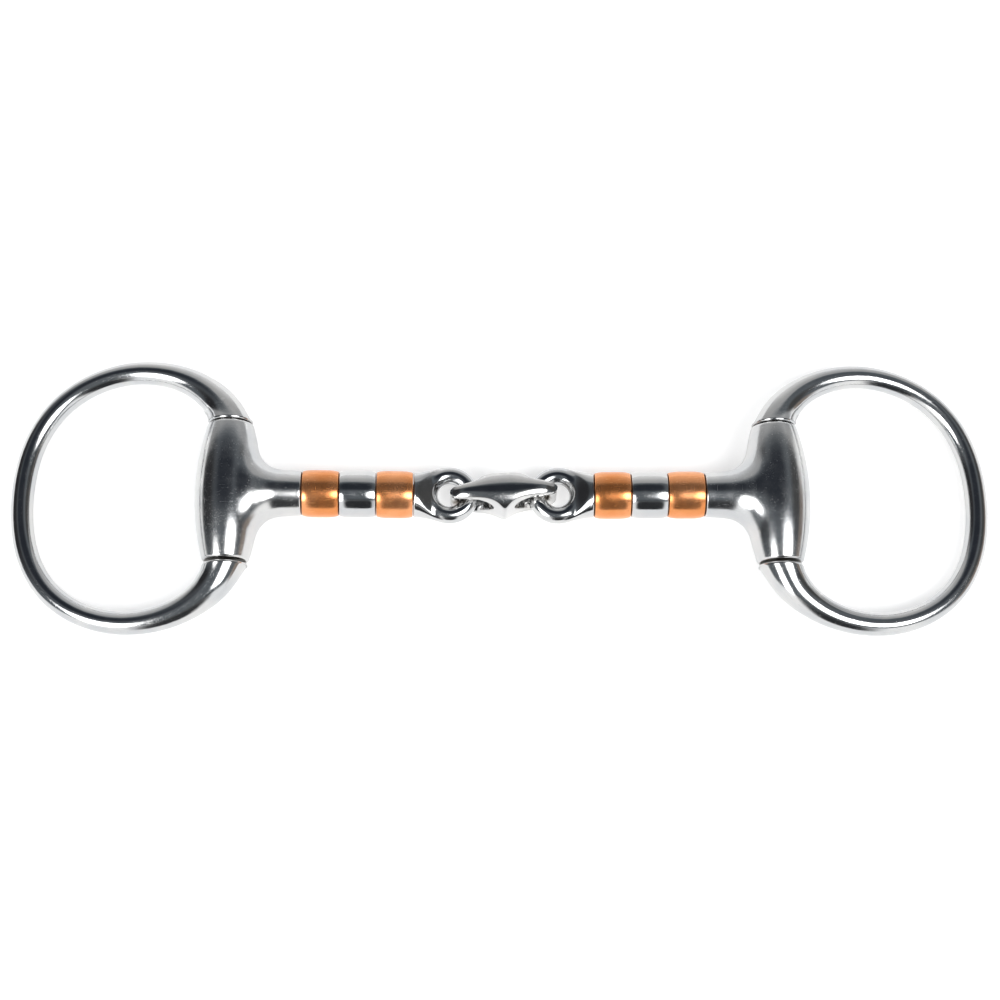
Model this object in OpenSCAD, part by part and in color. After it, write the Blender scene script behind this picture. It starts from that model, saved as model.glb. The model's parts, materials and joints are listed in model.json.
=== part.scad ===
// Eggbutt snaffle bit with a double-jointed mouthpiece and an oval centre link.
// +X runs along the mouthpiece, +Y along the butt barrels, +Z up.
// The bit lies flat on a table at z = 0.

/* [Mouthpiece] */
// Mouthpiece width, measured between the two butt barrels
mouth_w = 135; // [120:5:150]
// Radius of the plain stem and of the eye's shoulder
cannon_r = 6.3; // [5.8:0.1:7]
// Radius at the crown of each roller
roller_crown_r = 6.65; // [6.3:0.05:7.2]
// Radius at the ends of each roller
roller_end_r = 6.3; // [5.8:0.05:6.8]
// Length of each roller
roller_len = 10.1; // [9:0.1:10.5]
// Free gap at each end of each roller
roller_gap = 0.2; // [0.1:0.05:0.4]
// Radius of the spindle that the rollers turn on
spindle_r = 3; // [2.5:0.1:3.5]

/* [Eyes] */
// Radius of the eye's hole at its narrowest
eye_hole_r = 3.3; // [3.3:0.05:3.6]
// Radius of the round bar that forms the eye
eye_bar_r = 2.4; // [2:0.05:2.5]
// Distance from the shoulder's flat face to the centre of the eye
shoulder_len = 10.1; // [9.5:0.1:12]

/* [Centre link] */
// Overall length of the link
link_len = 30.1; // [29:0.1:32]
// Overall depth of the link, front face to back face
link_depth = 14; // [13:0.2:15]
// Half-width of the link at its middle, on its broad upper edge
link_upper_w = 5.2; // [4.6:0.1:5.4]
// Half-width of the link at its middle, at the point of its lower edge
link_lower_w = 5.75; // [5:0.05:5.9]
// Width of the link over its end loops
link_end_w = 4.6; // [4.2:0.1:4.8]
// Radius of the rod that closes each end loop
link_rod_r = 1.3; // [1.1:0.05:1.3]
// Thickness of the web between the two loops
link_web = 6; // [5:0.5:7]
// Height of each loop, front plate to back plate
link_slot_h = 7.8; // [7.2:0.2:8.4]
// Half-width of the straight part of each loop, inside its flared mouths
link_flare_y = 1; // [0.8:0.1:1.6]
// Slope of the flare, rise over run
link_flare_slope = 1.2; // [0.7:0.05:1.5]

/* [Butts] */
// Length of the butt's barrel
barrel_len = 39.6; // [36:0.2:44]
// Radius of the barrel at its middle
barrel_mid_r = 9.2; // [8.6:0.1:10]
// Radius of the barrel at its two ends
barrel_end_r = 6.35; // [5.8:0.05:7]

/* [Cheek rings] */
// Radius of the ring's bar on the side away from the mouth
ring_bar_r = 3.05; // [2.8:0.05:3.3]
// Distance from the barrel's axis to the middle of the far bar
ring_reach = 58.6; // [55:0.2:62]
// Half the height of the ring, to the middle of its bar
ring_half_h = 36.3; // [35:0.1:38]
// Radius of the pivot pins
pin_r = 2; // [1.5:0.1:2.2]

/* [Rest pose] */
// Tilt of the link about the vertical
link_tilt = 3; // [0:0.5:3]
// Roll of the link about its own length
link_roll = 5; // [0:1:5]
// How far each ring has slid down along its barrel
ring_slip = 0.2; // [0:0.05:0.3]

/* [Hidden] */
$fn = 96;

steel = [0.74, 0.75, 0.77];
copper = [0.80, 0.45, 0.24];
running_gap = 0.05;

// Heights of the barrel axis and of the link above the table
barrel_z = barrel_mid_r;
link_z = link_depth / 2;

// Places along X, all measured from the middle of the link
rod_x = link_len / 2 - link_rod_r;
rod_offset = 1.4;
eye_x = rod_x + rod_offset;
eye_r = eye_hole_r + eye_bar_r;
hinge_x = eye_x - eye_r;
butt_x = mouth_w / 2 + barrel_mid_r;

// The cannon slopes down from the barrel's axis to the fold axis in the eye
fold_arm = sqrt(pow(butt_x - hinge_x, 2) + pow(barrel_z - link_z, 2));
cannon_slope = asin((barrel_z - link_z) / fold_arm);

// Distances along the cannon, from the barrel's axis towards the link
eye_t = fold_arm - eye_r;
shoulder_t = eye_t - shoulder_len;
roller_pitch = roller_len + roller_gap;
stem_t = shoulder_t - 3 * roller_pitch - roller_gap;
bore_t = 8.2;

// The ring swings down until its far bar lies on the table
ring_swing = asin((barrel_z - ring_bar_r) / ring_reach);
end_gap = 0.4;
ring_foot = barrel_len / 2 + end_gap;
pin_in_ring = 5.4;
pin_in_barrel = 8;

// ---- placement ----------------------------------------------------------

// Mirrors a right-hand piece to the left side of the mouth
module side(name) {
  mirror([name == "left" ? 1 : 0, 0, 0]) children();
}

// Cannon frame: origin on the barrel's axis, link towards -X
module on_cannon() {
  translate([butt_x, 0, barrel_z]) rotate([0, -cannon_slope, 0]) children();
}

// Cheek frame: origin on the barrel's axis, far bar towards +X
module on_cheek() {
  translate([butt_x, -ring_slip, barrel_z]) rotate([0, ring_swing, 0]) children();
}

// Turns a shape made along Z so that it runs from the barrel towards the link
module along_cannon(t) {
  translate([-t, 0, 0]) rotate([0, -90, 0]) children();
}

// Turns a shape made along Z so that it runs along the barrel
module along_barrel() {
  rotate([-90, 0, 0]) children();
}

// ---- profiles -------------------------------------------------------------

// Radius of a crowned shape at a fraction f of its half-length
function crown(mid, end, f) = mid - (mid - end) * f * f;

// Lathe profile of a crowned cylinder centred on z = 0, with eased rims
module crowned_profile(len, mid, end, ease) {
  steps = 12;
  half = len / 2;
  polygon(concat(
    [[0, -half], [end - ease, -half]],
    [for (i = [-steps:steps]) [crown(mid, end, i / steps), i / steps * (half - ease)]],
    [[end - ease, half], [0, half]]
  ));
}

// ---- butt -----------------------------------------------------------------

// Lathe profile of the stem: a plain end that flares into the barrel
module stem_profile() {
  flare_t = 13.4;
  flare_r = 6.85;
  fillet = 4.6;
  steps = 8;
  polygon(concat(
    [[0, 0], [flare_r + fillet, 0]],
    [for (i = [0:steps]) [
      flare_r + fillet * (1 - sin(90 * i / steps)),
      flare_t - fillet * cos(90 * i / steps)
    ]],
    [[cannon_r, stem_t - 3], [cannon_r, stem_t - 0.3], [cannon_r - 0.3, stem_t], [0, stem_t]]
  ));
}

// Side view of the stem, which keeps its flare from standing above the barrel
module stem_side_outline() {
  polygon(concat(
    [for (i = [0:6]) [-stem_t * i / 6, cannon_r + 0.4 + 1.9 * pow(1 - i / 6, 2)]],
    [for (i = [6:-1:0]) [-stem_t * i / 6, -cannon_r - 0.4 - 1.9 * pow(1 - i / 6, 2)]]
  ));
}

module butt() {
  color(steel) on_cannon() difference() {
    union() {
      along_barrel() rotate_extrude() crowned_profile(barrel_len, barrel_mid_r, barrel_end_r, 0.4);
      intersection() {
        along_cannon(0) rotate_extrude() stem_profile();
        along_barrel() linear_extrude(height = barrel_len, center = true) stem_side_outline();
      }
    }
    along_cannon(bore_t) cylinder(r = spindle_r, h = stem_t);
    for (end = [-1, 1])
      translate([0, end * (barrel_len / 2 - pin_in_barrel - 0.2), 0])
        rotate([-90 * end, 0, 0]) cylinder(r = pin_r + running_gap, h = barrel_len);
  }
}

// ---- rollers and eye spindle ----------------------------------------------

// Roller number 0 sits against the stem, number 2 against the shoulder
module roller(number, tint) {
  centre_t = stem_t + roller_gap + roller_len / 2 + number * roller_pitch;
  color(tint) on_cannon() along_cannon(centre_t) difference() {
    rotate_extrude() crowned_profile(roller_len, roller_crown_r, roller_end_r, 0.35);
    cylinder(r = spindle_r + running_gap, h = 2 * roller_len, center = true);
  }
}

// Lathe profile of the hole through the shoulder: its waist lies inside the eye's round bar
module eye_hole_profile() {
  steps = 8;
  waist_r = eye_bar_r - 0.4;
  top = cannon_r + 1;
  polygon(concat(
    [[0, -top], [eye_r + 1.2, -top]],
    [for (i = [-steps:steps]) [eye_r - waist_r * cos(90 * i / steps), waist_r * sin(90 * i / steps)]],
    [[eye_r + 1.2, top], [0, top]]
  ));
}

module eye_spindle() {
  color(steel) on_cannon() {
    along_cannon(bore_t + 0.4) cylinder(r = spindle_r, h = shoulder_t - bore_t);
    translate([-eye_t, 0, 0]) {
      rotate_extrude() translate([eye_r, 0]) circle(r = eye_bar_r, $fn = 48);
      difference() {
        hull() {
          translate([shoulder_len, 0, 0]) rotate([0, -90, 0]) cylinder(r = cannon_r, h = 2.4, $fn = 32);
          translate([1, 0, 0]) cylinder(r = eye_r + eye_bar_r * 0.85, h = 2 * eye_bar_r * 0.6, center = true, $fn = 32);
        }
        rotate_extrude() eye_hole_profile();
        translate([-2 * eye_r, -2 * eye_r, -cannon_r]) cube([2 * eye_r, 4 * eye_r, 2 * cannon_r]);
      }
    }
  }
}

// ---- centre link ------------------------------------------------------------

// Half-widths and half-depth of the link at a distance x from its middle
link_half = link_len / 2;
function end_round(x) = pow(max(0, 1 - pow(abs(x) / link_half, 5)), 0.5);
function broad_swell(x) = exp(-pow(abs(x) / 7.6, 5));
function pointed_swell(x) = exp(-(norm([x, 0.8]) - 0.8) / 2.6);
function half_w(x, middle, swell) = end_round(x) * (link_end_w / 2 + (middle - link_end_w / 2) * swell);
function upper_w(x) = half_w(x, link_upper_w, broad_swell(x));
function lower_w(x) = half_w(x, link_lower_w, pointed_swell(x));
function link_half_d(x) = link_depth / 2 * pow(max(0, 1 - pow(abs(x) / link_half, 3.6)), 1 / 3.6);

// Outline of the link at x: upright sides, and a domed front and back that meet them at 45 degrees
dome_steps = 6;
function dome(x, side) =
  let (mid = (upper_w(x) - lower_w(x)) / 2, r = (upper_w(x) + lower_w(x)) / 2 / sin(45))
    [for (i = [0:dome_steps])
      let (a = 45 - 90 * i / dome_steps)
        [x, mid + side * r * sin(a), side * (link_half_d(x) - r * (1 - cos(a)))]];

// Lozenge-shaped solid, closed by a point at each end
module link_body() {
  rings = 48;
  sides = 2 * (dome_steps + 1);
  xs = [for (i = [1:rings - 1]) -link_half * cos(180 * i / rings)];
  points = concat(
    [[-link_half, 0, 0]],
    [for (x = xs, side = [-1, 1], p = dome(x, side)) p],
    [[link_half, 0, 0]]
  );
  last = len(points) - 1;
  function at(i, k) = 1 + i * sides + k % sides;
  faces = concat(
    [for (k = [0:sides - 1]) [0, at(0, k), at(0, k + 1)]],
    [for (i = [0:rings - 3], k = [0:sides - 1]) [at(i, k), at(i + 1, k), at(i + 1, k + 1)]],
    [for (i = [0:rings - 3], k = [0:sides - 1]) [at(i, k), at(i + 1, k + 1), at(i, k + 1)]],
    [for (k = [0:sides - 1]) [last, at(rings - 2, k + 1), at(rings - 2, k)]]
  );
  polyhedron(points = points, faces = faces, convexity = 6);
}

// Section of one loop, seen along the link: straight walls that flare out to both faces
module loop_section(half_h) {
  out_y = 2 * link_lower_w;
  out_z = half_h + link_flare_slope * (out_y - link_flare_y);
  polygon([
    [-out_y, -out_z], [-link_flare_y, -half_h], [link_flare_y, -half_h], [out_y, -out_z],
    [out_y, out_z], [link_flare_y, half_h], [-link_flare_y, half_h], [-out_y, out_z]
  ]);
}

module centre_link() {
  slot_r = link_slot_h / 2 - 0.4;
  flare_x = link_web / 2 + slot_r;
  color(steel) translate([0, 0, link_z]) rotate([0, 0, link_tilt]) rotate([-link_roll, 0, 0]) {
    difference() {
      link_body();
      for (end = [-1, 1]) scale([end, 1, 1]) rotate([90, 0, 0])
        linear_extrude(height = 4 * link_lower_w, center = true) {
          translate([flare_x, 0]) circle(r = slot_r);
          translate([flare_x, -slot_r]) square([link_half, 2 * slot_r]);
        }
      for (end = [-1, 1]) scale([end, 1, 1]) translate([flare_x, 0, 0])
        rotate([90, 0, 90]) linear_extrude(height = link_half) loop_section(slot_r);
    }
    for (end = [-1, 1]) translate([end * rod_x, 0, 0])
      cylinder(r = link_rod_r, h = link_slot_h + 1.2, center = true, $fn = 48);
  }
}

// ---- cheek rings --------------------------------------------------------------

function bezier(p, t) =
  pow(1 - t, 3) * p[0] + 3 * pow(1 - t, 2) * t * p[1] + 3 * (1 - t) * t * t * p[2] + t * t * t * p[3];

// Upper half of the ring's centre line: barrel end to crest, then crest to far bar
ring_lean = 20;
crest = [26.8, ring_half_h];
rise = [[0, ring_foot], [0, ring_foot] + 9 * [sin(ring_lean), cos(ring_lean)], crest - [14, 0], crest];
fall = [crest, crest + [9.2, 0], [ring_reach, 31], [ring_reach, 0]];
ring_steps = 22;
ring_quarter = concat(
  [for (i = [0:ring_steps - 1]) bezier(rise, i / ring_steps)],
  [for (i = [0:ring_steps]) bezier(fall, i / ring_steps)]
);
ring_count = len(ring_quarter);

// Whole centre line, from the upper barrel end round to the lower one
ring_line = concat(
  ring_quarter,
  [for (i = [ring_count - 2:-1:0]) [ring_quarter[i].x, -ring_quarter[i].y]]
);
ring_last = len(ring_line) - 1;
ring_arc = [for (i = 0, s = 0; i <= ring_last; i = i + 1, s = i <= ring_last ? s + norm(ring_line[i] - ring_line[i - 1]) : s) s];

// Length along the bar from the nearer barrel end to section i
function from_end(i) = min(ring_arc[i], ring_arc[ring_last] - ring_arc[i]);
function bar_radius(i) = ring_bar_r + (barrel_end_r - ring_bar_r) * exp(-from_end(i) / 12);

// Direction of the bar, and the normal of its section, which turns square to the barrel at each end
function heading(i) =
  let (d = ring_line[min(i + 1, ring_last)] - ring_line[max(i - 1, 0)]) atan2(d.y, d.x);
function section_heading(i) =
  let (
    square_to_barrel = i <= ring_last / 2 ? 90 : -270,
    turn = min(1, from_end(i) / 10),
    h = i <= ring_last / 2 || heading(i) < 0 ? heading(i) : heading(i) - 360,
    blend = turn * turn * (3 - 2 * turn)
  ) square_to_barrel + (h - square_to_barrel) * blend;

module ring_bar() {
  sides = 24;
  points = [for (i = [0:ring_last], k = [0:sides - 1])
    let (
      a = 360 * k / sides,
      r = bar_radius(i),
      h = section_heading(i) - 90,
      n = [cos(h), sin(h)]
    ) [ring_line[i].x + r * cos(a) * n.x, ring_line[i].y + r * cos(a) * n.y, r * sin(a)]];
  function at(i, k) = i * sides + k % sides;
  faces = concat(
    [[for (k = [sides - 1:-1:0]) at(0, k)]],
    [for (i = [0:ring_last - 1], k = [0:sides - 1]) [at(i, k), at(i, k + 1), at(i + 1, k + 1), at(i + 1, k)]],
    [[for (k = [0:sides - 1]) at(ring_last, k)]]
  );
  polyhedron(points = points, faces = faces, convexity = 8);
}

module pivot_pin(end) {
  translate([0, end * (ring_foot - pin_in_barrel - end_gap + 0.2), 0])
    rotate([-90 * end, 0, 0]) cylinder(r = pin_r, h = pin_in_barrel + end_gap - 0.2 + pin_in_ring);
}

module cheek_ring() {
  color(steel) on_cheek() difference() {
    ring_bar();
    pivot_pin(1);
    pivot_pin(-1);
  }
}

module cheek_pin(end) {
  color(steel) on_cheek() pivot_pin(end);
}

centre_link();
side("left") butt();  // left_butt
side("left") eye_spindle();  // left_eye_spindle
side("left") roller(0, copper);  // left_outer_copper_roller
side("left") roller(1, steel);  // left_steel_roller
side("left") roller(2, copper);  // left_inner_copper_roller
side("left") cheek_ring();  // left_cheek_ring
side("left") cheek_pin(1);  // left_upper_pivot_pin
side("left") cheek_pin(-1);  // left_lower_pivot_pin
side("right") butt();  // right_butt
side("right") eye_spindle();  // right_eye_spindle
side("right") roller(0, copper);  // right_outer_copper_roller
side("right") roller(1, steel);  // right_steel_roller
side("right") roller(2, copper);  // right_inner_copper_roller
side("right") cheek_ring();  // right_cheek_ring
side("right") cheek_pin(1);  // right_upper_pivot_pin
side("right") cheek_pin(-1);  // right_lower_pivot_pin
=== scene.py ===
"""Visual model of an eggbutt snaffle bit with copper and steel rollers and an oval centre link.

Shapes are worked out in millimetres and written in metres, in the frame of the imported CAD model.
Pieces of the left side are the right side's pieces mirrored across x = 0.
"""
import json
import math

import bpy
import numpy as np
from mathutils import Matrix, Vector


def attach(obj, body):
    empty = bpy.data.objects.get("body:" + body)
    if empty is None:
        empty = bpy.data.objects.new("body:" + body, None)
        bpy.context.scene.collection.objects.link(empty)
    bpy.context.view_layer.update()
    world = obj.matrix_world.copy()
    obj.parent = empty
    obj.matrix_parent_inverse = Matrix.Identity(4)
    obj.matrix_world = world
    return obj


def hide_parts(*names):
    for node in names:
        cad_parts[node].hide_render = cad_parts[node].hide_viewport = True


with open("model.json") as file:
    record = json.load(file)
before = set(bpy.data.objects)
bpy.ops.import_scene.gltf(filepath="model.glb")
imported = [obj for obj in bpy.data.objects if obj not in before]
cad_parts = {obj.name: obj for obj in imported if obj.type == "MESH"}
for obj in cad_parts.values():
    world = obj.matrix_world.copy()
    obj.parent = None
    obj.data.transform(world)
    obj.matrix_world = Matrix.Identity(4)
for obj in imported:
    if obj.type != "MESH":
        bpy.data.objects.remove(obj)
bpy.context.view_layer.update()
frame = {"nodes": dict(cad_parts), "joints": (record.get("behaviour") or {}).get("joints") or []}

MM = 0.001
JOINTS = {j["name"]: j for j in frame["joints"]}


def joint_mm(name):
    """Where a joint stands at rest, in millimetres."""
    return np.array(JOINTS[name]["pos_m"]) * 1000


# ---- sizes, in millimetres ---------------------------------------------------

BUTT = joint_mm("right_cheek_swing")
HINGE = joint_mm("right_fold")
ARM = math.hypot(BUTT[0] - HINGE[0], BUTT[2] - HINGE[2])
CANNON_SLOPE = math.asin((BUTT[2] - HINGE[2]) / ARM)

CANNON_R = 6.3
SPINDLE_R = 2.98
BARREL_LEN = 39.6
BARREL_MID_R = 9.18
BARREL_END_R = 6.35
BARREL_RIM = 0.8
STEM_BLEND = 6.5
STEM_TAPER = 0.06
CROWN_BLEND = 1.6
CROWN_FLOW = 4.2
CROWN_FLOW_START = 1.5
CROWN_FLOW_LEN = 6
STEM_FULL_T = 9
BORE_GAP = 0.03
PIN_BORE_R = 2.05
PIN_DEPTH = 8.7
BORE_T = 8.2

EYE_BAR_R = 2.4
EYE_R = 5.7
EYE_RIM_R = 4.7
EYE_FLAT = 1.5
EYE_RISE = 0.28
EYE_STEEP_RISE = 0.18
EYE_CROWN = 0.022
EYE_FADE = 0.22
SHOULDER_LEN = 10.1
SHOULDER_INSET = 0.35
EYE_T = ARM - EYE_R
SHOULDER_T = EYE_T - SHOULDER_LEN
ROLLER_LEN = 10.1
ROLLER_GAP = 0.2
ROLLER_CROWN_R = 6.65
ROLLER_END_R = 6.3
ROLLER_RIM = 0.38
ROLLER_BORE_GAP = 0.07
STEM_T = SHOULDER_T - 3 * (ROLLER_LEN + ROLLER_GAP) - ROLLER_GAP

RING_BAR_R = 3.05
RING_REACH = 58.6
RING_HALF_H = 36.3
RING_FOOT = BARREL_LEN / 2 + 0.4
RING_SLIP = 0.2
RING_RIM = 0.7
RING_SKIN = 0.02
RING_TAPER = 12
RING_TURN_LEN = 10
RING_SWING = math.asin((BUTT[2] - RING_BAR_R) / RING_REACH)

LINK_HALF = 15.05
LINK_DEPTH = 14.0
LINK_UPPER_W = 5.2
LINK_LOWER_W = 5.75
LINK_END_W = 4.6
LINK_BROAD_X = 7.6
LINK_POINT_X = 2.6
LINK_POINT_BLUNT = 0.8
LINK_DOME_X = 7.4
LINK_FLARE_Y = 1.0
LINK_FLARE = 1.3
LINK_FLARE_FRONT = 0.6
LINK_FLARE_START = 1.2
LINK_FLARE_LEN = 2.4
LINK_SLOT_R = 3.5
LINK_SLOT_X = 6.5
LINK_ROD_X = 13.75
LINK_ROD_R = 1.3
LINK_ROD_HALF = 4.6
LINK_TILT = math.radians(3)
LINK_ROLL = math.radians(5)


# ---- distance fields -----------------------------------------------------------


def ease(t):
    """Smooth step from 0 to 1."""
    return t * t * (3 - 2 * t)


def smooth_min(a, b, k):
    """Union of two fields with a fillet about k wide."""
    h = np.maximum(k - np.abs(a - b), 0) / k
    return np.minimum(a, b) - h * h * k / 4


def smooth_max(a, b, k):
    """Overlap of two fields with an eased edge about k wide."""
    return -smooth_min(-a, -b, k)


def surface_net(field, low, high, step):
    """Closed quad mesh of field = 0: (points, quads, outward normals)."""
    axes = [np.arange(lo, hi + step, step) for lo, hi in zip(low, high)]
    grid = np.stack(np.meshgrid(*axes, indexing="ij"), -1)
    value = field(grid.reshape(-1, 3)).reshape(grid.shape[:3])
    inside = value < 0
    cells = tuple(n - 1 for n in value.shape)
    corners = [(i, j, k) for i in (0, 1) for j in (0, 1) for k in (0, 1)]

    def shifted(array, c):
        return array[c[0]:c[0] + cells[0], c[1]:c[1] + cells[1], c[2]:c[2] + cells[2]]

    count = sum(shifted(inside, c).astype(np.int8) for c in corners)
    active = np.argwhere((count > 0) & (count < 8))
    index = -np.ones(cells, np.int64)
    index[tuple(active.T)] = np.arange(len(active))
    total = np.zeros((len(active), 3))
    hits = np.zeros(len(active))
    for a in corners:
        for axis in range(3):
            if a[axis]:
                continue
            b = tuple(1 if k == axis else a[k] for k in range(3))
            fa = value[tuple((active + a).T)]
            fb = value[tuple((active + b).T)]
            cross = (fa < 0) != (fb < 0)
            share = np.where(cross, fa / np.where(cross, fa - fb, 1), 0)[:, None]
            at = (active + a) + share * (np.array(b) - np.array(a))
            total += np.where(cross[:, None], at, 0)
            hits += cross
    points = np.array(low) + step * total / hits[:, None]

    quads = []
    for axis in range(3):
        u, v = [(1, 2), (2, 0), (0, 1)][axis]
        one = np.take(inside, range(0, inside.shape[axis] - 1), axis)
        two = np.take(inside, range(1, inside.shape[axis]), axis)
        edges = np.argwhere(one != two)
        edges = edges[(edges[:, u] > 0) & (edges[:, v] > 0)]
        outward = one[tuple(edges.T)]
        around = []
        for du, dv in ((1, 1), (0, 1), (0, 0), (1, 0)):
            cell = edges.copy()
            cell[:, u] -= du
            cell[:, v] -= dv
            around.append(index[tuple(cell.T)])
        around = np.stack(around, -1)
        quads.append(np.where(outward[:, None], around, around[:, ::-1]))
    quads = np.concatenate(quads)

    def slope(p):
        d = 0.01
        parts = []
        for axis in range(3):
            off = np.zeros(3)
            off[axis] = d
            parts.append((field(p + off) - field(p - off)) / (2 * d))
        return np.stack(parts, -1)

    for _ in range(6):
        g = slope(points)
        points = points - g * (field(points) / np.maximum((g * g).sum(-1), 0.05))[:, None]
    normals = slope(points)
    normals /= np.linalg.norm(normals, axis=-1)[:, None]
    return points, quads, normals


# ---- meshes ----------------------------------------------------------------------


def cannon_to_row(p):
    """Cannon frame to row frame: origin on the barrel's axis, link towards -X."""
    c, s = math.cos(CANNON_SLOPE), math.sin(CANNON_SLOPE)
    return p @ np.array([[c, 0, s], [0, 1, 0], [-s, 0, c]]), BUTT


def cheek_to_row(p):
    """Cheek frame to row frame: origin on the barrel's axis, far bar towards +X."""
    c, s = math.cos(RING_SWING), math.sin(RING_SWING)
    return p @ np.array([[c, 0, -s], [0, 1, 0], [s, 0, c]]), BUTT - [0, RING_SLIP, 0]


def link_to_row(p):
    """Link frame to row frame: origin in the middle of the link."""
    c, s = math.cos(-LINK_ROLL), math.sin(-LINK_ROLL)
    roll = np.array([[1, 0, 0], [0, c, -s], [0, s, c]])
    c, s = math.cos(LINK_TILT), math.sin(LINK_TILT)
    tilt = np.array([[c, -s, 0], [s, c, 0], [0, 0, 1]])
    return p @ (tilt @ roll).T, np.array([0, 0, HINGE[2]])


def piece(name, parts, place, side, body, material, replaces):
    """One object from closed shells of (points, faces, normals), placed, parented to its body,
    hiding the CAD parts it replaces.
    """
    points, faces, normals, start = [], [], [], 0
    for p, f, n in parts:
        turned, origin = place(p)
        points.append(turned + origin)
        normals.append(place(n)[0])
        faces += [[i + start for i in face] for face in f]
        start += len(p)
    points, normals = np.concatenate(points) * MM, np.concatenate(normals)
    if side == "left":
        points, normals = points * [-1, 1, 1], normals * [-1, 1, 1]
        faces = [face[::-1] for face in faces]
    mesh = bpy.data.meshes.new(name)
    mesh.from_pydata(points.tolist(), [], faces)
    mesh.shade_smooth()
    mesh.normals_split_custom_set_from_vertices(normals.tolist())
    mesh.materials.append(material)
    obj = bpy.data.objects.new(name, mesh)
    bpy.context.collection.objects.link(obj)
    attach(obj, body)
    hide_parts(*replaces)
    return obj


def lathe(profile, sides):
    """Closed shell from a closed (radius, x) outline turned about the X axis."""
    outline = np.array(profile, float)
    n = len(outline)
    along = np.roll(outline, -1, 0) - np.roll(outline, 1, 0)
    norm = np.stack([along[:, 1], -along[:, 0]], -1)
    norm /= np.linalg.norm(norm, axis=-1)[:, None]
    r, x = outline.T
    area = np.sum(r * np.roll(x, -1) - np.roll(r, -1) * x)
    if area < 0:
        norm = -norm
    turn = 2 * math.pi * np.arange(sides) / sides
    c, s = np.cos(turn)[:, None], np.sin(turn)[:, None]

    def spun(rows):
        r, x = rows[:, 0][None], rows[:, 1][None]
        return np.stack([x + 0 * c, r * c, r * s], -1).reshape(-1, 3)

    faces = []
    for k in range(sides):
        for i in range(n):
            j, m = (i + 1) % n, (k + 1) % sides
            quad = [k * n + i, k * n + j, m * n + j, m * n + i]
            faces.append(quad if area < 0 else quad[::-1])
    return spun(outline), faces, spun(norm)


def eased_corner(at, towards_a, towards_b, radius, steps=6):
    """Points that round a corner of a lathe outline."""
    at, a, b = np.array(at, float), np.array(towards_a, float), np.array(towards_b, float)
    centre = at + radius * (a + b)
    return [
        list(centre - radius * (b * math.cos(t) + a * math.sin(t)))
        for t in np.linspace(0, math.pi / 2, steps)
    ]


# ---- butt ---------------------------------------------------------------------------


def butt_field(p):
    """Crowned barrel along Y, with a stem along -X that swells smoothly into it."""
    x, y, z = p.T
    half = BARREL_LEN / 2
    f = np.clip(y / half, -1.1, 1.1)
    drop = BARREL_MID_R - BARREL_END_R
    radius = BARREL_MID_R - drop * f * f
    steep = np.sqrt(1 + (2 * drop * f / half) ** 2)
    barrel = (np.hypot(x, z) - radius) / steep
    t = -x
    stem = np.hypot(y, z) - (CANNON_R + STEM_TAPER * np.clip(STEM_T - t, 0, STEM_T - STEM_FULL_T))
    stem = smooth_max(stem, t - STEM_T, 0.5)
    stem = np.maximum(stem, -t)
    beside = y * y / (y * y + z * z + 1e-9)
    clear = np.clip((t - CROWN_FLOW_START) / CROWN_FLOW_LEN, 0, 1)
    crown = CROWN_BLEND + CROWN_FLOW * ease(clear)
    solid = smooth_min(barrel, stem, crown + (STEM_BLEND - crown) * beside)
    solid = smooth_max(solid, np.abs(y) - half, BARREL_RIM)
    bore = np.maximum(np.hypot(y, z) - (SPINDLE_R + BORE_GAP), BORE_T - t)
    pins = np.maximum(np.hypot(x, z) - PIN_BORE_R, half - PIN_DEPTH - np.abs(y))
    solid = smooth_max(solid, -bore, 0.15)
    return smooth_max(solid, -pins, 0.3)


# ---- rollers and eye spindle -----------------------------------------------------------


def roller_shell(number):
    """One roller: crowned outside, eased rims, a plain bore."""
    middle = STEM_T + ROLLER_GAP + ROLLER_LEN / 2 + number * (ROLLER_LEN + ROLLER_GAP)
    half, rim = ROLLER_LEN / 2, ROLLER_RIM
    bore = SPINDLE_R + ROLLER_BORE_GAP
    crown = [
        [ROLLER_CROWN_R - (ROLLER_CROWN_R - ROLLER_END_R) * f ** 4, f * (half - rim)]
        for f in np.linspace(-1, 1, 25)
    ]
    outline = [[bore, -half + 0.15], [bore + 0.15, -half]]
    outline += [[r, -half] for r in np.linspace(bore + 0.6, ROLLER_END_R - rim - 0.2, 5)]
    outline += eased_corner([ROLLER_END_R, -half], [-1, 0], [0, 1], rim)
    outline += crown[1:-1]
    outline += eased_corner([ROLLER_END_R, half], [0, -1], [-1, 0], rim)
    outline += [[r, half] for r in np.linspace(ROLLER_END_R - rim - 0.2, bore + 0.6, 5)]
    outline += [[bore + 0.15, half], [bore, half - 0.15]]
    outline += [[bore, x] for x in np.linspace(half - 1, 1 - half, 5)]
    return lathe([[r, x - middle] for r, x in outline], 144)


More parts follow.
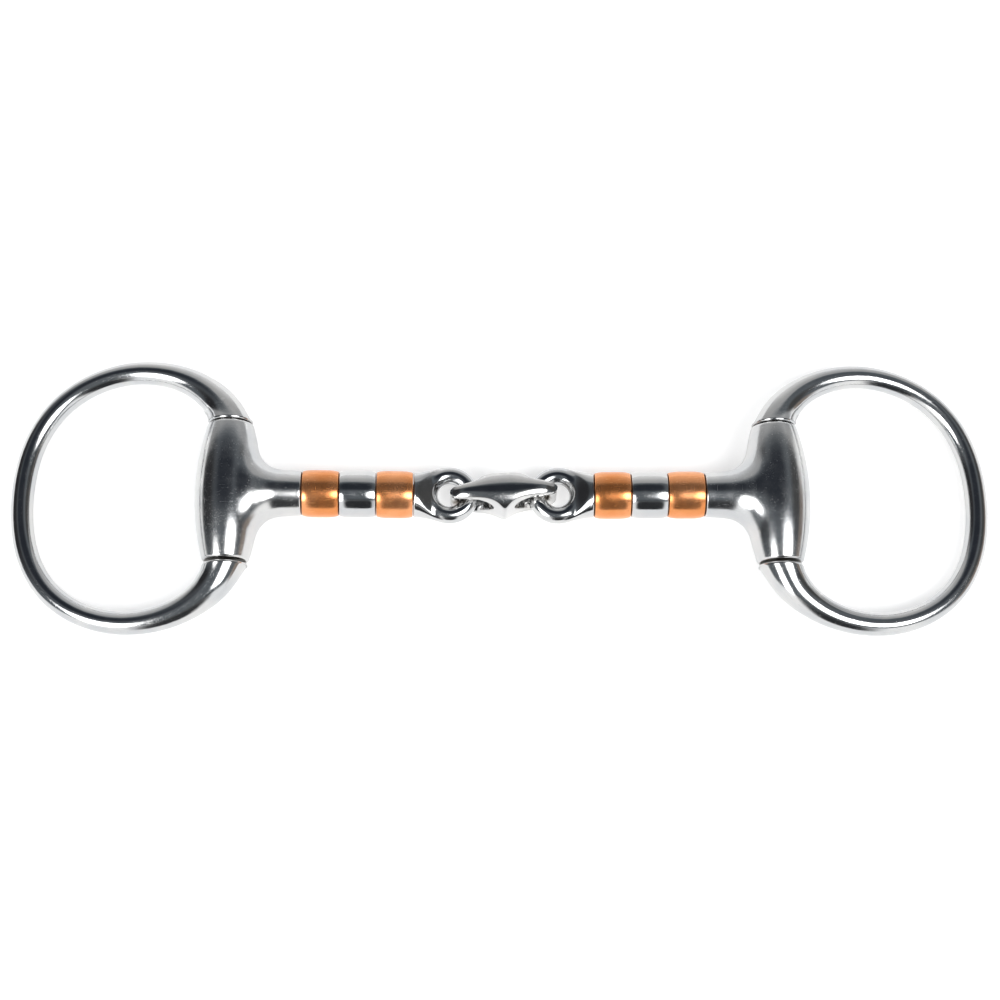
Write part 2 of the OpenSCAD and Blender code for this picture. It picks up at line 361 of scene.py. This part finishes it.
def eye_field(p):
    """Round eye bar, its shoulder round at the rollers and pressed flat towards the eye."""
    x, y, z = p.T
    t = -x
    from_eye = EYE_T - t
    ring = np.hypot(from_eye, y)
    bar = np.hypot(ring - EYE_R, z) - EYE_BAR_R
    u = np.clip((SHOULDER_LEN - from_eye) / SHOULDER_LEN, 0, 1)
    wide = CANNON_R + (EYE_R + EYE_BAR_R - SHOULDER_INSET - CANNON_R) * ease(u)
    body = (np.hypot(y / wide, z / CANNON_R) - 1) * CANNON_R
    back = np.maximum(from_eye, 0)
    past = back - EYE_RIM_R - 0.6
    height = EYE_FLAT + EYE_RISE * back + EYE_STEEP_RISE * (past + np.hypot(past, 1.6))
    height = height - EYE_CROWN * y * y
    flat = (np.abs(z) - height) * 0.84
    body = smooth_max(body, flat, 0.5 + 1.1 * np.clip((back - 4) / 5, 0, 1))
    body = smooth_max(body, EYE_RIM_R - ring, 0.35)
    beyond = np.maximum(-from_eye, 0)
    body = body + EYE_FADE * beyond * beyond
    body = smooth_max(body, from_eye - SHOULDER_LEN, 0.5)
    return smooth_min(bar, body, 0.6)


def spindle_shell():
    """The rod that the rollers turn on, from inside the butt's bore to inside the shoulder."""
    start, end, r = BORE_T + 0.4, SHOULDER_T + 1.5, SPINDLE_R
    outline = [[0.001, -end], [r, -end]]
    outline += [[r, -t] for t in np.linspace(end - 0.5, start + 0.5, 24)]
    outline += [[r, -start], [0.001, -start]]
    return lathe(outline, 48)


# ---- centre link -----------------------------------------------------------------------


def link_field(p):
    """Domed lozenge with a broad upper edge, a pointed lower one and a loop at each end."""
    x, y, z = p.T
    ax, az = np.abs(x), np.abs(z)
    across = np.clip(ax / LINK_HALF, 0, 0.9999)
    rounding = np.sqrt(1 - across ** 9)
    end = LINK_END_W / 2
    point = np.exp(-(np.hypot(x, LINK_POINT_BLUNT) - LINK_POINT_BLUNT) / LINK_POINT_X)
    upper = rounding * (end + (LINK_UPPER_W - end) * np.exp(-(ax / LINK_BROAD_X) ** 5))
    lower = rounding * (end + (LINK_LOWER_W - end) * point)
    depth = LINK_DEPTH / 2 * (1 - across ** 3.6) ** (1 / 3.6)
    swell = np.exp(-(ax / LINK_DOME_X) ** 2.8)
    bend = math.sqrt(2) * rounding * (end + (LINK_UPPER_W - end) * swell)
    dome = np.hypot(y, np.maximum(az - depth + bend, 0)) - bend
    dome = np.where(az > depth - bend, dome, -bend * 0.3)
    wall = np.maximum(y - upper, -y - lower) * 0.85
    body = smooth_max(dome, wall, 0.4)
    body = np.maximum(body, ax - LINK_HALF)

    dx = ax - LINK_SLOT_X
    slope = np.where((y < 0) & (z > 0), LINK_FLARE_FRONT, LINK_FLARE)
    out = np.maximum(np.abs(y) - LINK_FLARE_Y, 0)
    along = np.clip((dx + LINK_FLARE_START) / LINK_FLARE_LEN, 0, 1)
    flare = slope * (np.hypot(out, 0.1) - 0.1) * ease(along)
    slot = np.where(dx < 0, np.hypot(dx, z), az) - LINK_SLOT_R - flare
    body = smooth_max(body, -slot / np.hypot(1, slope * along), 0.35)
    rod = np.hypot(ax - LINK_ROD_X, y) - LINK_ROD_R
    rod = np.maximum(rod, az - LINK_ROD_HALF)
    return smooth_min(body, rod, 0.9)


# ---- cheek ring -------------------------------------------------------------------------


def bezier(p, t):
    """Points of a cubic curve."""
    p, t = np.array(p, float), t[:, None]
    u = 1 - t
    return u ** 3 * p[0] + 3 * u ** 2 * t * p[1] + 3 * u * t * t * p[2] + t ** 3 * p[3]


def ring_shell(steps=130, sides=48):
    """Round bar swept along the D, thick and square to the barrel at its two eased ends."""
    lean = math.radians(20)
    foot, crest = np.array([0, RING_FOOT]), np.array([26.8, RING_HALF_H])
    rise = [foot, foot + 9 * np.array([math.sin(lean), math.cos(lean)]), crest - [14, 0], crest]
    fall = [crest, crest + [9.2, 0], [RING_REACH, 31], [RING_REACH, 0]]
    t = np.linspace(0, 1, steps)
    quarter = np.concatenate([bezier(rise, t)[:-1], bezier(fall, t)])
    line = np.concatenate([quarter, quarter[-2::-1] * [1, -1]])
    arc = np.concatenate([[0], np.cumsum(np.linalg.norm(np.diff(line, axis=0), axis=1))])
    near = np.minimum(arc, arc[-1] - arc)
    radius = RING_BAR_R - RING_SKIN + (BARREL_END_R - RING_BAR_R) * np.exp(-near / RING_TAPER)
    step = np.gradient(line, axis=0)
    heading = np.unwrap(np.arctan2(step[:, 1], step[:, 0]))
    half = len(line) // 2
    square = np.where(np.arange(len(line)) <= half, math.pi / 2, -3 * math.pi / 2)
    turn = ease(np.clip(near / RING_TURN_LEN, 0, 1))
    heading = square + (heading - square) * turn
    out = np.stack([np.cos(heading - math.pi / 2), np.sin(heading - math.pi / 2)], -1)

    angle = 2 * math.pi * np.arange(sides) / sides
    rows, ways = [], []

    def add_row(i, r, slide=0.0, lean_out=0.0):
        ahead = np.array([np.cos(heading[i]), np.sin(heading[i])])
        c, s = np.cos(angle), np.sin(angle)
        mid = line[i] + slide * ahead
        rows.append(np.stack([mid[0] + r * c * out[i, 0], mid[1] + r * c * out[i, 1], r * s], -1))
        way = np.stack([c * out[i, 0], c * out[i, 1], s], -1) * math.cos(lean_out)
        way[:, :2] += math.sin(lean_out) * ahead
        ways.append(way)

    def end_radius(a):
        return np.interp(RING_RIM * (1 - math.sin(a)), arc, radius) - RING_RIM * (1 - math.cos(a))

    rim = np.linspace(math.pi / 2, 0, 7)
    last = len(line) - 1
    for r in (0.01, 2.0, 4.0):
        add_row(0, r, 0, -math.pi / 2)
    for a in rim:
        add_row(0, end_radius(a), RING_RIM * (1 - math.sin(a)), -a)
    taper = np.gradient(radius, arc)
    for i in range(last + 1):
        if near[i] > RING_RIM + 0.05:
            add_row(i, radius[i], 0, -math.atan(taper[i]))
    for a in rim[::-1]:
        add_row(last, end_radius(a), -RING_RIM * (1 - math.sin(a)), a)
    for r in (4.0, 2.0, 0.01):
        add_row(last, r, 0, math.pi / 2)
    count = len(rows)
    faces = []
    for i in range(count - 1):
        for k in range(sides):
            m = (k + 1) % sides
            here, ahead = i * sides, (i + 1) * sides
            faces.append([here + k, ahead + k, ahead + m, here + m])
    faces.append(list(range(sides)))
    faces.append([(count - 1) * sides + k for k in range(sides - 1, -1, -1)])
    return np.concatenate(rows), faces, np.concatenate(ways)


# ---- materials ----------------------------------------------------------------------------


class Nodes:
    """Short ways to add nodes to one node tree."""

    def __init__(self, tree):
        self.tree = tree
        tree.nodes.clear()

    def add(self, kind, inputs=None, **settings):
        node = self.tree.nodes.new(kind)
        for key, value in settings.items():
            setattr(node, key, value)
        for key, value in (inputs or {}).items():
            if isinstance(value, bpy.types.NodeSocket):
                self.tree.links.new(value, node.inputs[key])
            else:
                node.inputs[key].default_value = value
        return node

    def math(self, operation, *values, clamp=False):
        inputs = dict(enumerate(values))
        return self.add("ShaderNodeMath", inputs, operation=operation, use_clamp=clamp).outputs[0]

    def ramp(self, value, low, high, out_low=0.0, out_high=1.0):
        inputs = {
            "Value": value, "From Min": low, "From Max": high, "To Min": out_low, "To Max": out_high,
        }
        return self.add("ShaderNodeMapRange", inputs, interpolation_type="SMOOTHSTEP").outputs[0]

    def noise(self, where, scale, detail=3.0, rough=0.5):
        inputs = {"Vector": where, "Scale": scale, "Detail": detail, "Roughness": rough}
        return self.add("ShaderNodeTexNoise", inputs).outputs["Fac"]

    def mix(self, factor, a, b):
        node = self.add("ShaderNodeMix", data_type="RGBA")
        for socket, value in ((node.inputs[0], factor), (node.inputs[6], a), (node.inputs[7], b)):
            if isinstance(value, bpy.types.NodeSocket):
                self.tree.links.new(value, socket)
            else:
                socket.default_value = value
        return node.outputs[2]


def metal(name, tint, tint_2, worn, grime_shade_colour, rough, grime_shade_amount, bare=1.0):
    """Polished metal: uneven tint, smudges, fine scratches and pits, worn edges, grime and painted
    shade in crevices.
    """
    material = bpy.data.materials.new(name)
    material.use_nodes = True
    n = Nodes(material.node_tree)
    where = n.add("ShaderNodeTexCoord").outputs["Object"]

    def stretched(turn, size):
        node = n.add("ShaderNodeMapping", {"Vector": where, "Rotation": turn, "Scale": size})
        return node.outputs[0]

    cloud = n.noise(where, 90, 4)
    smudge = n.noise(where, 260, 5, 0.62)
    wave = n.noise(where, 330, 2)
    pits = n.ramp(n.noise(where, 2600, 2, 0.6), 0.58, 0.76)
    lines = n.noise(stretched((0.3, 0.2, 0.5), (160, 5200, 5200)), 1, 2)
    lines_2 = n.noise(stretched((0.9, 0.4, -0.8), (5600, 200, 5600)), 1, 2)
    scratches = n.math("MAXIMUM", n.ramp(lines, 0.66, 0.74), n.ramp(lines_2, 0.68, 0.75))
    edge = n.ramp(n.add("ShaderNodeNewGeometry").outputs["Pointiness"], 0.53, 0.62)
    # Ambient occlusion picks out crevices and seams: partly grime, partly painted shade.
    hollow = n.add("ShaderNodeAmbientOcclusion", {"Distance": 0.003}, samples=8).outputs["AO"]
    grime_and_shade = n.math("MULTIPLY", n.ramp(hollow, 0.62, 0.2), n.ramp(smudge, 0.3, 0.62, 0.45, 1.0))
    grime_and_shade = n.math("MULTIPLY", grime_and_shade, grime_shade_amount, clamp=True)

    colour = n.mix(n.ramp(cloud, 0.35, 0.65), tint, tint_2)
    colour = n.mix(n.math("MULTIPLY", edge, 0.5), colour, worn)
    # Painted shade and grime: crevices are mixed towards the dark grime colour.
    colour = n.mix(grime_and_shade, colour, grime_shade_colour)
    smudged = n.ramp(smudge, 0.35, 0.72, rough, rough + 0.07)
    roughness = n.math("ADD", smudged, n.math("MULTIPLY", scratches, 0.12))
    roughness = n.math("ADD", roughness, n.math("MULTIPLY", grime_and_shade, 0.35))
    bump = n.add("ShaderNodeBump", {"Strength": 0.35, "Distance": 0.00004, "Height": wave})
    bump = n.add(
        "ShaderNodeBump",
        {
            "Strength": 0.25, "Distance": 0.000012, "Height": n.math("SUBTRACT", 1.0, scratches),
            "Normal": bump.outputs[0],
        },
    )
    bump = n.add(
        "ShaderNodeBump",
        {
            "Strength": 0.5, "Distance": 0.00001, "Height": n.math("SUBTRACT", 1.0, pits),
            "Normal": bump.outputs[0],
        },
    )
    shader = n.add(
        "ShaderNodeBsdfPrincipled",
        {"Base Color": colour, "Metallic": bare, "Roughness": roughness, "Normal": bump.outputs[0]},
    )
    n.add("ShaderNodeOutputMaterial", {"Surface": shader.outputs[0]})
    return material


# Each metal's fourth colour darkens its crevices as grime and painted shade; the number after the
# roughness sets how strongly.
STEEL = metal(
    "polished_steel", (0.53, 0.54, 0.55, 1), (0.61, 0.61, 0.605, 1), (0.78, 0.78, 0.77, 1),
    (0.10, 0.075, 0.045, 1), 0.085, 0.75,
)
BUTT_STEEL = metal(
    "satin_steel", (0.53, 0.54, 0.55, 1), (0.61, 0.61, 0.605, 1), (0.78, 0.78, 0.77, 1),
    (0.10, 0.075, 0.045, 1), 0.15, 0.75,
)
LINK_STEEL = metal(
    "cast_steel", (0.53, 0.53, 0.53, 1), (0.61, 0.605, 0.595, 1), (0.79, 0.78, 0.76, 1),
    (0.12, 0.085, 0.045, 1), 0.08, 0.95,
)
COPPER = metal(
    "polished_copper", (0.70, 0.255, 0.08, 1), (0.80, 0.345, 0.15, 1), (0.90, 0.58, 0.38, 1),
    (0.16, 0.06, 0.02, 1), 0.19, 0.6, 0.84,
)


# ---- build ----------------------------------------------------------------------------------

half = BARREL_LEN / 2
BUTT_SHELL = surface_net(butt_field, (-STEM_T - 0.8, -half - 0.8, -10), (10, half + 0.8, 10), 0.36)
EYE_SHELL = surface_net(
    eye_field, (-EYE_T - 8.7, -8.7, -7), (-SHOULDER_T + 0.7, 8.7, 7), 0.25,
)
LINK_SHELL = surface_net(link_field, (-15.6, -6.2, -7.6), (15.6, 6.2, 7.6), 0.24)
RING_SHELL = ring_shell()

piece(
    "link_casting", [LINK_SHELL], link_to_row, "right", "link", LINK_STEEL,
    ["centre_link"],
)
for side in ("left", "right"):
    cannon, cheek = f"{side}_cannon", f"{side}_cheek"
    piece(
        f"{side}_butt_casting", [BUTT_SHELL], cannon_to_row, side, cannon, BUTT_STEEL,
        [f"{side}_butt"],
    )
    piece(
        f"{side}_eye_forging", [EYE_SHELL, spindle_shell()], cannon_to_row, side, cannon, STEEL,
        [f"{side}_eye_spindle"],
    )
    for number, kind in enumerate(("outer_copper", "steel", "inner_copper")):
        node = f"{side}_{kind}_roller"
        metal_here, slot_here = (STEEL, "steel") if kind == "steel" else (COPPER, "copper")
        piece(
            f"{node}_turned", [roller_shell(number)], cannon_to_row, side, node, metal_here,
            [node],
        )
    piece(
        f"{side}_ring_bar", [RING_SHELL], cheek_to_row, side, cheek, STEEL,
        [f"{side}_cheek_ring"],
    )
    for end in ("upper", "lower"):
        pin = frame["nodes"][f"{side}_{end}_pivot_pin"]
        pin.data.materials.clear()
        pin.data.materials.append(STEEL)


# ---- floor, light and camera ------------------------------------------------------------------


def make_floor():
    """White acrylic table, lit a little from below."""
    mesh = bpy.data.meshes.new("floor")
    size = 4.0
    corners = [(-size, -size, 0), (size, -size, 0), (size, size, 0), (-size, size, 0)]
    mesh.from_pydata(corners, [], [(0, 1, 2, 3)])
    material = bpy.data.materials.new("floor_paint")
    material.use_nodes = True
    n = Nodes(material.node_tree)
    where = n.add("ShaderNodeTexCoord").outputs["Object"]
    tone = n.mix(n.noise(where, 14, 2), (0.64, 0.64, 0.64, 1), (0.66, 0.66, 0.66, 1))
    shader = n.add(
        "ShaderNodeBsdfPrincipled",
        {
            "Base Color": tone, "Roughness": 1.0, "Specular IOR Level": 0.0,
            "Emission Color": tone, "Emission Strength": 0.85,
        },
    )
    n.add("ShaderNodeOutputMaterial", {"Surface": shader.outputs[0]})
    mesh.materials.append(material)
    floor = bpy.data.objects.new("floor", mesh)
    bpy.context.collection.objects.link(floor)
    floor.location.z = -0.0001


def make_world():
    """White sweep, dim ceiling, darker panels and two softboxes, in degrees from the zenith."""
    world = bpy.data.worlds.new("studio")
    bpy.context.scene.world = world
    world.use_nodes = True
    n = Nodes(world.node_tree)
    way = n.add("ShaderNodeTexCoord").outputs["Generated"]
    x, y, z = n.add("ShaderNodeSeparateXYZ", {0: way}).outputs[:3]
    squares = n.math("ADD", n.math("MULTIPLY", x, x), n.math("MULTIPLY_ADD", y, y, 1e-9))
    flat = n.math("SQRT", squares)
    reach = n.math("DIVIDE", n.math("DEGREES", n.math("ARCCOSINE", z)), flat)
    u, v = n.math("MULTIPLY", x, reach), n.math("MULTIPLY", y, reach)

    def panel(below, shade, centre, size, soft):
        """Lay a rounded panel over what is there, by its centre and half-size in degrees."""
        du = n.math("ABSOLUTE", n.math("DIVIDE", n.math("SUBTRACT", u, centre[0]), size[0]))
        dv = n.math("ABSOLUTE", n.math("DIVIDE", n.math("SUBTRACT", v, centre[1]), size[1]))
        cubes = n.math("ADD", n.math("POWER", du, 3.0), n.math("POWER", dv, 3.0))
        away = n.math("POWER", cubes, 1 / 3)
        return n.mix(n.ramp(away, 1 + soft, 1 - soft), below, (*shade, 1))

    wall = n.mix(n.ramp(v, 50.0, 88.0), (0.52, 0.52, 0.52, 1), (0.95, 0.95, 0.95, 1))
    colour = n.mix(n.ramp(v, 38.0, 52.0), (1.32, 1.32, 1.32, 1), wall)
    colour = panel(colour, (0.15, 0.165, 0.18), (-6, 0), (84, 47.5), 0.09)
    colour = panel(colour, (0.36, 0.30, 0.26), (82, -2), (12, 32), 0.5)
    colour = panel(colour, (0.035, 0.035, 0.038), (-68, 19), (26, 27), 0.5)
    colour = panel(colour, (0.03, 0.035, 0.045), (-6, 21), (30, 18), 0.4)
    colour = panel(colour, (0.085, 0.085, 0.085), (57, 19), (15, 25), 0.5)
    colour = panel(colour, (0.04, 0.042, 0.045), (4, -68), (24, 26), 0.35)
    colour = panel(colour, (9.2, 9.2, 9.2), (-36, -31), (12, 16), 0.5)
    colour = panel(colour, (9.2, 9.2, 9.2), (26, -18), (16, 13), 0.5)
    shade = n.add("ShaderNodeBackground", {"Color": colour, "Strength": 1.0})
    n.add("ShaderNodeOutputWorld", {"Surface": shade.outputs[0]})


def make_camera():
    """The photograph's viewpoint: steeply from above and in front, turned a little."""
    target = Vector((-0.8, 0.75, 0)) * MM
    distance = 0.450
    azimuth, elevation, roll = math.radians(-5.55), math.radians(74), math.radians(5.55)
    level = math.cos(elevation)
    back = Vector((math.sin(azimuth) * level, -math.cos(azimuth) * level, math.sin(elevation)))
    right = Vector((math.cos(azimuth), math.sin(azimuth), 0))
    up = back.cross(right)
    data = bpy.data.cameras.new("camera")
    data.sensor_width = 36
    data.lens = 56.8
    data.clip_start, data.clip_end = 0.01, 20
    camera = bpy.data.objects.new("camera", data)
    bpy.context.collection.objects.link(camera)
    across = right * math.cos(roll) + up * math.sin(roll)
    upward = up * math.cos(roll) - right * math.sin(roll)
    turn = Matrix((across, upward, back)).transposed()
    camera.matrix_world = Matrix.Translation(target + back * distance) @ turn.to_4x4()
    bpy.context.scene.camera = camera


make_floor()
make_world()
make_camera()
bpy.context.scene.view_settings.view_transform = "Standard"
